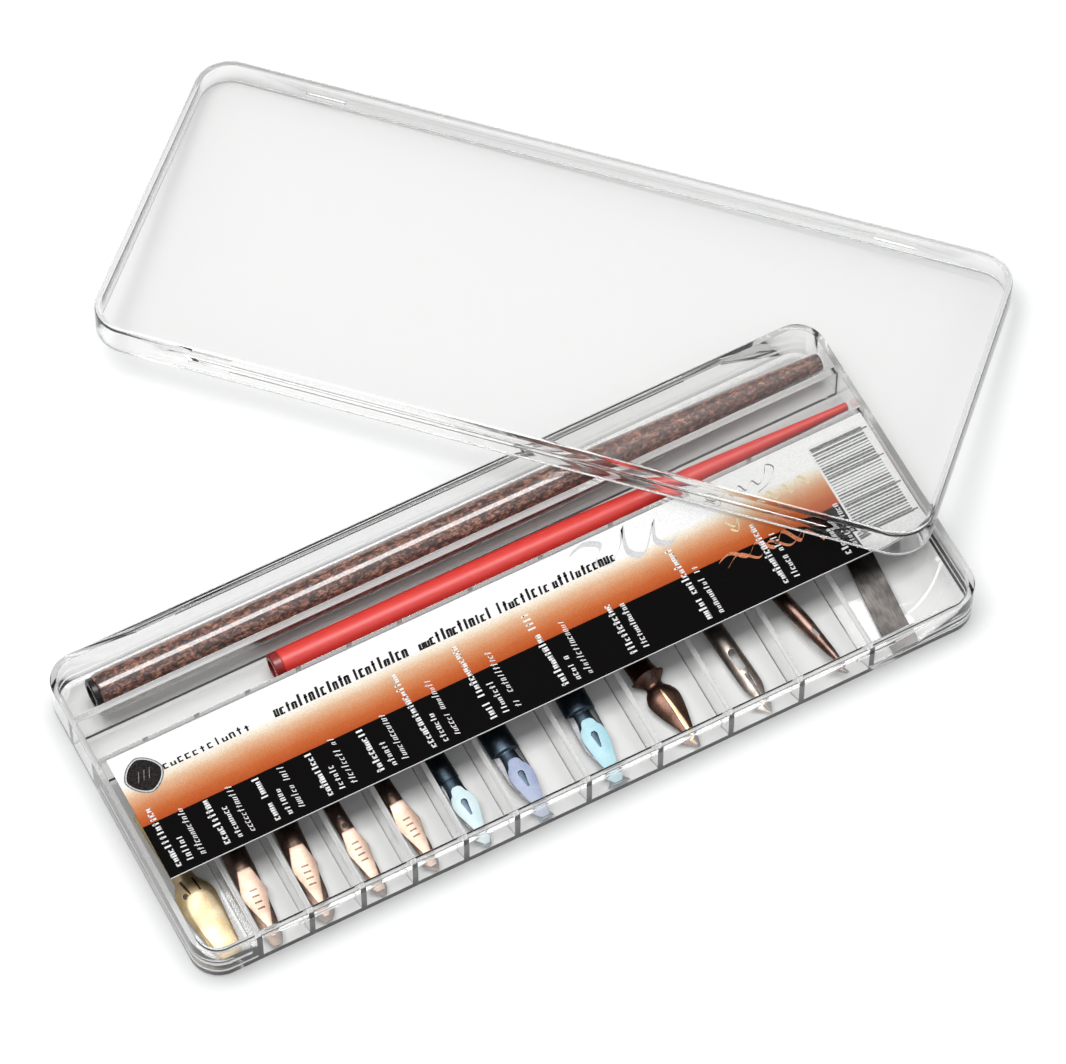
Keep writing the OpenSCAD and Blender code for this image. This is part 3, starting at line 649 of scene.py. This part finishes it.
collar_profile = [(0, 3.2), (0.06, 3.38), (0.18, 3.5), (0.34, 3.56), (1.3, 3.56), (1.34, 3.4), (1.35, 2.85),
                  (14, 2.85)]
brown_collar = turned("black_collar_ring", collar_profile, 4.8, 14, brown_place)
collar_plastic, add, place = new_material("black_collar_plastic")
cover_with(add, add("ShaderNodeBsdfPrincipled", {
    "Base Color": (0.006, 0.0055, 0.0055, 1),
    "Roughness": ranged(add, noise(add, place, 1800, 3), 0.18, 0.38)}))
finish_piece(brown_collar, [collar_plastic], "brown_holder", "black_collar", "brown_collar")

# Thin pen holder: turned wood dipped in red lacquer, its tail drawn to a thin end, with a darker
# ring pressed on at its mouth.
red_turn = math.radians(-0.18)
red_place = Matrix.Translation(Vector((-46.8, 18.15, 4.9)) * mm) @ Matrix.Rotation(red_turn, 4, "Z")
red_profile = [(2, 3.12), (2.1, 3.22), (2.5, 3.3)] + smooth_rows([
    (3.4, 3.3), (14, 3.3), (26.8, 3.3), (46.8, 3.22), (66.8, 3.08), (86.8, 2.55), (103, 2.1), (113, 1.7),
    (123, 1.3), (132, 0.95)], 4) + [(135, 0.9)]
red_handle = turned("red_handle_wood", red_profile, 4.2, 15, red_place, 0.3)
red_lacquer, add, place = new_material("red_handle_lacquer")
place = add("ShaderNodeMapping", {"Vector": place, "Scale": (0.25, 1, 1)}).outputs["Vector"]
reds = blended(add, noise(add, place, 1500, 4), (0.6, 0.016, 0.012, 1), (0.8, 0.045, 0.032, 1))
cover_with(add, add("ShaderNodeBsdfPrincipled", {
    "Base Color": reds, "Roughness": 0.5, "Coat Weight": 0.6, "Coat Roughness": 0.3}))
finish_piece(red_handle, [red_lacquer], "red_holder", "red_lacquer", "red_handle")

ring_profile = [(0, 2.8), (0.06, 3.0), (0.18, 3.12), (0.4, 3.2), (1.95, 3.2)]
red_collar = turned("dark_red_ring", ring_profile, 4.2, 1.95, red_place)
ring_red, add, place = new_material("dark_red_ring_lacquer")
deep = blended(add, noise(add, place, 2200, 3), (0.16, 0.006, 0.006, 1), (0.34, 0.02, 0.016, 1))
cover_with(add, add("ShaderNodeBsdfPrincipled", {"Base Color": deep, "Roughness": 0.35, "Coat Weight": 0.4}))
finish_piece(red_collar, [ring_red], "red_holder", "dark_red", "red_collar")

# Sockets' sprung leaves: bright spring steel, cut and bent from one sleeve for each holder; they
# press a nib's shank against the wall of the bore.
steel, add, place = new_material("spring_steel_leaves")
cover_with(add, add("ShaderNodeBsdfPrincipled", {
    "Base Color": (0.45, 0.45, 0.47, 1), "Metallic": 1,
    "Roughness": ranged(add, noise(add, place, 2500, 3), 0.2, 0.4)}))
for holder, shift in (("brown", (0.9, 0.2, 0)), ("red", (0, 0.45, 0))):
    prongs = softened(f"{holder}_spring_leaves", f"{holder}_prongs", 0.05 * mm)
    prongs.data.transform(Matrix.Translation(Vector(shift) * mm))
    finish_piece(prongs, [steel], f"{holder}_holder", "spring_steel", f"{holder}_prongs")


# Nibs: thin steel sheet stamped, pierced and bent to an arch, then heat-tinted, bronzed or plated;
# the ones for broad strokes carry a reservoir plate on top. Cut edges are rounded, and their lighter colour is
# painted sheen where the edges catch the light.
def nib_metal(name, dark_tone, light_tone, roughness, grain=2600, metallic=1.0, along=1.0):
    """Heat-tinted or plated steel: fine grain, drawn along the nib, and slightly uneven gloss."""
    material, add, place = new_material(name)
    drawn = add("ShaderNodeMapping", {"Vector": place, "Scale": (1, along, 1)}).outputs["Vector"]
    fine = noise(add, drawn, grain, 4, Roughness=0.65)
    share = ranged(add, worked(add, "ADD", fine, noise(add, place, 260, 2)), 0.0, 1.0, 0.75, 1.25)
    bump = add("ShaderNodeBump", {"Height": fine, "Strength": 0.12, "Distance": 0.00003})
    cover_with(add, add("ShaderNodeBsdfPrincipled", {
        "Base Color": blended(add, share, (*dark_tone, 1), (*light_tone, 1)), "Metallic": metallic,
        "Roughness": ranged(add, fine, roughness * 0.8, roughness * 1.25), "Normal": bump.outputs["Normal"]}))
    return material


def slot_outline(low, high, width_low, width_high, aside=0.0):
    """A round-ended opening between two distances from the tip."""
    ends = []
    for place, width, first in ((low, width_low, math.pi), (high, width_high, 0)):
        for k in range(9):
            turn = first + math.pi * k / 8
            ends.append((aside + width / 2 * math.cos(turn), place + width / 2 * math.sin(turn)))
    return ends


def arch_height(rows, along, across):
    """Height of a bent sheet's top over the cell's floor, from rows of (along, half width, arc, lift)."""
    along = min(max(along, rows[0][0]), rows[-1][0])
    for low, high in zip(rows, rows[1:]):
        if along <= high[0]:
            break
    share = 0 if high[0] == low[0] else (along - low[0]) / (high[0] - low[0])
    half, arc, lift = (low[k] + share * (high[k] - low[k]) for k in (1, 2, 3))
    radius = half / math.sin(math.radians(arc))
    rise = math.sqrt(max(radius ** 2 - min(abs(across), half) ** 2, 0))
    return lift + rise - radius * math.cos(math.radians(arc))


def plate_height(nib_rows, thickness, gap=0.08):
    """Height of a plate that lies on a nib's crown with a bend of its own."""
    def height(rows, along, across):
        for low, high in zip(rows, rows[1:]):
            if along <= high[0]:
                break
        share = min(max((along - low[0]) / (high[0] - low[0]), 0), 1)
        half, arc = (low[k] + share * (high[k] - low[k]) for k in (1, 2))
        radius = half / math.sin(math.radians(arc))
        sag = radius - math.sqrt(max(radius ** 2 - across ** 2, 0))
        return arch_height(nib_rows, along, 0) + gap + thickness - sag
    return height


cell_floor = 1.5
tip_line = -35.75


def cut_sheet(name, rows, openings, thickness, place, height_of=arch_height):
    """A piece of sheet metal: its blank, cut into small faces, is bent to the arch and laid in place."""
    outline = [(row[1], row[0]) for row in rows] + [(-row[1], row[0]) for row in reversed(rows)]
    flat = bpy.data.curves.new(name, "CURVE")
    flat.dimensions = "2D"
    flat.fill_mode = "BOTH"
    for loop in [outline] + openings:
        line = flat.splines.new("POLY")
        line.points.add(len(loop) - 1)
        for point, (across, along) in zip(line.points, loop):
            point.co = (across, along, 0, 1)
        line.use_cyclic_u = True
    blank = in_scene(name, flat)
    mesh = bpy.data.meshes.new_from_object(blank.evaluated_get(bpy.context.evaluated_depsgraph_get()))
    bpy.data.objects.remove(blank)
    bm = bmesh.new()
    bm.from_mesh(mesh)
    bmesh.ops.remove_doubles(bm, verts=bm.verts, dist=0.005)
    wide = max(row[1] for row in rows)
    for axis, first, last, step in (("y", rows[0][0], rows[-1][0], 0.6), ("x", -wide, wide, wide / 7)):
        cut = first + step
        while cut < last - step / 4:
            point, normal = ((0, cut, 0), (0, 1, 0)) if axis == "y" else ((cut, 0, 0), (1, 0, 0))
            whole = bm.verts[:] + bm.edges[:] + bm.faces[:]
            bmesh.ops.bisect_plane(bm, geom=whole, plane_co=point, plane_no=normal)
            cut += step
    bmesh.ops.remove_doubles(bm, verts=bm.verts, dist=0.01)
    for face in bm.faces:
        if face.normal.z < 0:
            face.normal_flip()
    for vert in bm.verts:
        vert.co.z = height_of(rows, vert.co.y, vert.co.x)
    bm.transform(place)
    bm.to_mesh(mesh)
    bm.free()
    for face in mesh.polygons:
        face.use_smooth = True
    piece = in_scene(name, mesh)
    solid = piece.modifiers.new("sheet", "SOLIDIFY")
    solid.thickness = thickness * mm
    solid.offset = -1
    rim = piece.modifiers.new("rim", "BEVEL")
    rim.width = 0.05 * mm
    rim.segments = 2
    rim.limit_method = "ANGLE"
    rim.angle_limit = math.radians(50)
    rim.material = 1
    return piece


def in_cell(tip, turn):
    """Where a nib lies: its tip's place along the tray and its turn in the cell, in degrees."""
    turned_by = Matrix.Rotation(math.radians(turn), 4, "Z")
    return Matrix.Translation(Vector((tip, tip_line, cell_floor)) * mm) @ turned_by @ Matrix.Scale(mm, 4)


def laid_line(name, under, slot, points, width, material, lift=0.02):
    """A thin line that lies on a nib's top, such as a crease's painted shade, a channel's painted highlight or
    a tab's edge.
    """
    top = BVHTree.FromObject(under, bpy.context.evaluated_depsgraph_get())
    verts, faces = [], []
    steps = 6
    path = []
    for one, two in zip(points, points[1:]):
        path += [[a + (b - a) * k / steps for a, b in zip(one, two)] for k in range(steps)]
    path.append(points[-1])
    for i, (x, y, share) in enumerate(path):
        ahead, back = path[min(i + 1, len(path) - 1)], path[max(i - 1, 0)]
        way = Vector((ahead[0] - back[0], ahead[1] - back[1])).normalized()
        for side in (-1, 0, 1):
            px = x - side * way.y * width * share / 2
            py = y + side * way.x * width * share / 2
            hit = top.ray_cast(Vector((px * mm, py * mm, 20 * mm)), Vector((0, 0, -1)))[0]
            z = hit.z if hit else verts[-1][2] if verts else cell_floor * mm
            verts.append((px * mm, py * mm, z + lift * mm * (1 if side else 1.5)))
    for i in range(len(path) - 1):
        for k in (0, 1):
            a = 3 * i + k
            faces.append((a, a + 3, a + 4, a + 1))
    mesh = bpy.data.meshes.new(name)
    mesh.from_pydata(verts, [], faces)
    upright(mesh, smooth=True)
    finish_piece(in_scene(name, mesh), [material], "root", slot)


nib_sheet = 0.35
plate_sheet = 0.3
nib_long = 38
# Lighter edge colours for the rounded cut edges: painted sheen, standing in for light caught on the rims.
edge_sheen_paint = nib_metal("edge_painted_sheen", (0.5, 0.47, 0.43), (0.72, 0.68, 0.62), 0.3)
dark_sheen_paint = nib_metal("dark_painted_sheen", (0.12, 0.12, 0.13), (0.24, 0.24, 0.25), 0.35)
# Dark tone for the poster nib's fold lines: painted shade in the creases.
shadow_tone = nib_metal("painted_fold_shade", (0.05, 0.028, 0.02), (0.1, 0.06, 0.045), 0.5)

# Poster nib: the widest one, brass-coloured steel sheet with folded shoulders, bent to a low arch
# under a smoother plate.
poster_brass = nib_metal("poster_brass_sheet", (0.4, 0.29, 0.15), (0.66, 0.52, 0.32), 0.55, grain=3500)
poster_smooth = nib_metal("poster_brass_plate", (0.5, 0.38, 0.22), (0.76, 0.64, 0.44), 0.5, grain=3500)
poster_place = in_cell(-82.22, 3.4)
poster_rows = smooth_rows([
    (0, 2.4, 14, 0.4), (3.5, 2.9, 20, 0.4), (8, 3.45, 30, 0.4), (11.5, 3.9, 38, 0.4), (15.3, 4.3, 48, 0.4),
    (17.5, 3.9, 54, 0.4), (19.5, 2.8, 60, 0.3), (22, 2.25, 68, 0.3), (nib_long, 2.15, 76, 0.3)], 4)
poster_holes = [slot_outline(16.3, 16.5, 1.1, 1.1, -2.0), slot_outline(24, 28, 1.2, 1.2)]
poster = cut_sheet("poster_nib_sheet", poster_rows, poster_holes, nib_sheet, poster_place)
finish_piece(poster, [poster_brass, edge_sheen_paint], "root", "poster_brass", "poster_nib")
poster_plate_rows = smooth_rows([
    (2.6, 2.3, 10), (6, 2.75, 14), (9.5, 3.1, 20), (13, 3.2, 24), (15, 2.6, 24), (16, 1.8, 22)], 4)
poster_plate = cut_sheet("poster_plate", poster_plate_rows, [], plate_sheet, poster_place,
                         plate_height(poster_rows, plate_sheet))
finish_piece(poster_plate, [poster_smooth, edge_sheen_paint], "root", "poster_brass", "poster_reservoir")
# The fold lines are dark ribbons of painted shade, laid in the creases of the folded shoulders.
poster_fold_shades = (
    ("left", [(-84.7, -15.8, 1), (-84.4, -18, 1), (-84.1, -19.6, 0.7)], 0.5),
    ("right", [(-82.1, -15.8, 1), (-81.9, -18.5, 1), (-81.7, -21, 0.7)], 0.45),
)
for side, points, width in poster_fold_shades:
    laid_line(f"poster_{side}_fold", poster, "poster_brass", points, width, shadow_tone)

# Tape nibs: four bronzed steel nibs for lines of different width, each under a plain copper plate
# like a long hexagon whose bright edges are painted sheen, stamped with four plain bars.
bronze = nib_metal("bronzed_steel", (0.09, 0.055, 0.042), (0.24, 0.165, 0.13), 0.42, along=0.25)
copper = nib_metal("copper_plate_finish", (0.5, 0.34, 0.26), (0.72, 0.55, 0.45), 0.5, grain=3200)
tape_nibs = (
    # tip's place, turn, half widths of tip, blade and shank, holes in the shank, plate's (along, half width)
    (-72.98, -2.9, 1.0, 2.1, 2.7, (), ((2.6, 0.45), (10.8, 2.9), (16.3, 1.45))),
    (-61.55, -4.1, 0.8, 2.1, 2.7, (), ((2.6, 0.5), (11.4, 2.75), (16.1, 1.5))),
    (-49.05, 1.3, 0.6, 1.7, 1.8, ((18.2, 0.8), (15.9, 1.1)), ((2.6, 0.9), (10.1, 2.4), (14.6, 1.4))),
    (-37.07, 2.8, 0.5, 1.7, 1.9, ((18.0, 0.7),), ((2.6, 0.7), (10.4, 2.65), (15.6, 1.5))),
)
stamped_at = (7.2, 8.6, 10.0, 11.4)
for number, (tip, turn, point, blade, shank, holes, plate) in enumerate(tape_nibs, 1):
    place = in_cell(tip, turn)
    rows = smooth_rows([
        (0, point, 14, 0.4), (4.3, blade, 26, 0.4), (10.5, (blade + shank) / 2, 38, 0.4),
        (16, shank, 58, 0.4), (20, shank, 70, 0.3), (nib_long, shank, 76, 0.3)], 4)
    openings = [slot_outline(at, at + 0.05, size, size) for at, size in holes]
    nib = cut_sheet(f"tape_nib_sheet_{number}", rows, openings, nib_sheet, place)
    finish_piece(nib, [bronze, dark_sheen_paint], "root", "bronze", f"tape_nib_{number}")
    plate_rows = [(at, half, arc) for (at, half), arc in zip(plate, (10, 21, 12))]
    cover = cut_sheet(f"tape_plate_{number}", plate_rows, [], plate_sheet, place,
                      plate_height(rows, plate_sheet))
    finish_piece(cover, [copper, edge_sheen_paint], "root", "copper_plate", f"tape_reservoir_{number}")
    for bar, along in enumerate(stamped_at, 1):
        ends = [place @ Vector((side, along, 0)) / mm for side in (-0.8, 0.8)]
        points = [(end.x, end.y, 1) for end in ends]
        laid_line(f"tape_stamp_{number}_{bar}", cover, "copper_plate", points, 0.4, bronze)

# Ornamental nibs: three blued steel nibs with stepped shanks over a leaf bent back below, each under
# a pale blue or grey-blue enamelled plate that has a wedge-shaped opening for the ink. The leaf's grey
# sides beside each nib are a painted reflection of the nib in the cell's floor.
blued = nib_metal("blued_steel_sheet", (0.03, 0.042, 0.056), (0.09, 0.125, 0.16), 0.38)
pale_1 = nib_metal("pale_blue_enamel", (0.62, 0.8, 0.84), (0.76, 0.9, 0.92), 0.4, metallic=0.0)
grey_blue = nib_metal("grey_blue_enamel", (0.3, 0.36, 0.54), (0.44, 0.49, 0.66), 0.4, metallic=0.0)
pale_3 = nib_metal("sky_blue_enamel", (0.38, 0.66, 0.75), (0.52, 0.79, 0.86), 0.4, metallic=0.0)
ornamental_nibs = (
    # tip's place, turn, half width of the tip, step's distance, shank's half width, plate's widths, finish
    (-25.29, 1.9, 0.75, 15.5, 2.4, (0.5, 2.6, 1.3), pale_1, "pale_blue_1"),
    (-11.99, 2.0, 1.75, 15.8, 3.25, (0.8, 2.65, 1.4), grey_blue, "grey_blue"),
    (4.77, -1.7, 2.5, 16.8, 3.35, (0.8, 2.75, 1.5), pale_3, "pale_blue_3"),
)
for number, (tip, turn, point, step, shank, (foot, belly, top), enamel, slot) in enumerate(ornamental_nibs, 1):
    place = in_cell(tip, turn)
    rows = smooth_rows([
        (0, point, 12, 0.5), (3.8, 1.45, 24, 0.9), (9, 2.3, 34, 1.2), (step - 4.4, 2.15, 38, 1.2),
        (step - 2.4, 1.85, 40, 1.2), (step - 0.4, 1.75, 42, 1.1)], 4)
    rows += [[step, shank, 62, 0.3], [step + 3, shank, 70, 0.3], [nib_long, shank, 74, 0.3]]
    nib = cut_sheet(f"ornamental_nib_sheet_{number}", rows, [], nib_sheet, place)
    finish_piece(nib, [blued, dark_sheen_paint], "root", "blued_steel", f"ornamental_nib_{number}")
    # Grey leaf under the nib: partly a painted reflection of the nib in the cell's floor.
    leaf_rows = [(2, 0.8, 8, 0.42), (5, 1.9, 10, 0.42), (9, shank - 0.35, 12, 0.42),
                 (step + 0.5, shank - 0.2, 12, 0.42)]
    leaf = cut_sheet(f"ornamental_leaf_painted_reflection_{number}", leaf_rows, [], nib_sheet, place)
    finish_piece(leaf, [dark_sheen_paint, dark_sheen_paint], "root", "blued_steel")
    plate_rows = smooth_rows([
        (0.8, foot, 8), (4.6, (foot + belly) / 2 + 0.15, 14), (step - 7.2, belly, 20),
        (step - 5, belly - 0.4, 20),
        (step - 4.2, top + 0.25, 16), (step - 3.1, top - 0.15, 12), (step - 2.6, top - 0.75, 12)], 4)
    wedge = [(-0.22, step - 9.6), (0.22, step - 9.6), (0.75, step - 6.4), (0.4, step - 5.8),
             (-0.4, step - 5.8), (-0.75, step - 6.4)]
    cover = cut_sheet(f"ornamental_plate_{number}", plate_rows, [wedge], plate_sheet, place,
                      plate_height(rows, plate_sheet))
    finish_piece(cover, [enamel, edge_sheen_paint], "root", slot, f"ornamental_reservoir_{number}")

# Crown nib: browned steel with wings at the waist, pierced between them; a pale gold line runs
# down its channel to its point, a painted highlight along the slit.
crown_steel = nib_metal("brown_steel_sheet", (0.06, 0.03, 0.022), (0.16, 0.09, 0.068), 0.36)
channel_highlight_paint = nib_metal("painted_channel_highlight", (0.62, 0.42, 0.2), (0.86, 0.68, 0.4), 0.3)
crown_rows = smooth_rows([
    (0, 0.25, 12, 0.4), (3.4, 1.4, 28, 0.4), (8, 2.9, 44, 0.4), (11.5, 3.6, 50, 0.4), (13.6, 3.0, 54, 0.4),
    (15.4, 1.95, 58, 0.4), (17.8, 4.0, 66, 0.4), (19.6, 2.9, 74, 0.3), (nib_long, 2.65, 78, 0.3)], 4)
crown_hole = slot_outline(16.95, 17.05, 1.2, 1.2)
crown = cut_sheet("crown_nib_sheet", crown_rows, [crown_hole], nib_sheet, in_cell(23.34, 6.5))
finish_piece(crown, [crown_steel, dark_sheen_paint], "root", "brown_steel", "crown_nib")
# The channel line is a gold-toned painted highlight.
laid_line("crown_channel_highlight", crown, "brown_steel",
          [(22.0, -22.6, 0.5), (22.3, -25, 0.7), (22.7, -28, 1), (23.0, -31, 1.3), (23.2, -34.4, 0.5)],
          0.75, channel_highlight_paint, 0.03)

# School nib: a slim channel of bronzed steel with a long opening, its point slit into two tines
# that spread as the pen is pressed.
school_steel = nib_metal("taupe_steel_sheet", (0.24, 0.2, 0.175), (0.4, 0.345, 0.31), 0.34)
school_rows = smooth_rows([
    (0, 0.25, 14, 0.4), (3.4, 1.35, 34, 0.4), (5.6, 2.1, 46, 0.4), (10, 2.3, 54, 0.4), (16, 2.3, 66, 0.3),
    (nib_long, 2.3, 80, 0.3)], 4)
split = [(-0.08, 0.4), (0.08, 0.4), (0.5, 8.6), (-0.5, 8.6)]
school_slot = slot_outline(10.5, 14, 1.9, 1.9)
school = cut_sheet("school_nib_sheet", school_rows, [split, school_slot], nib_sheet, in_cell(40.08, 3.2))
finish_piece(school, [school_steel, edge_sheen_paint], "root", "school_steel", "school_nib")

# Mapping nib: a thin steel tube, cut away to a fine point at its front; it fits over a peg and not
# into a socket with leaves.
mapping_steel = nib_metal("mapping_steel_tube", (0.09, 0.05, 0.04), (0.24, 0.155, 0.125), 0.3)
mapping = softened("mapping_nib_tube", "mapping_nib", 0.05 * mm, 1)
finish_piece(mapping, [mapping_steel, dark_sheen_paint], "root", "mapping_steel", "mapping_nib")

# Steel strip: a plain flat blade with ground faces and dark cut edges, sheared to length; it lies
# loose in the last cell.
strip_steel = nib_metal("strip_steel_brushed", (0.08, 0.072, 0.068), (0.19, 0.175, 0.165), 0.4, along=0.15)
strip = softened("brushed_strip", "steel_strip", 0.08 * mm, 1)
finish_piece(strip, [strip_steel, dark_sheen_paint], "root", "strip_steel", "steel_strip")
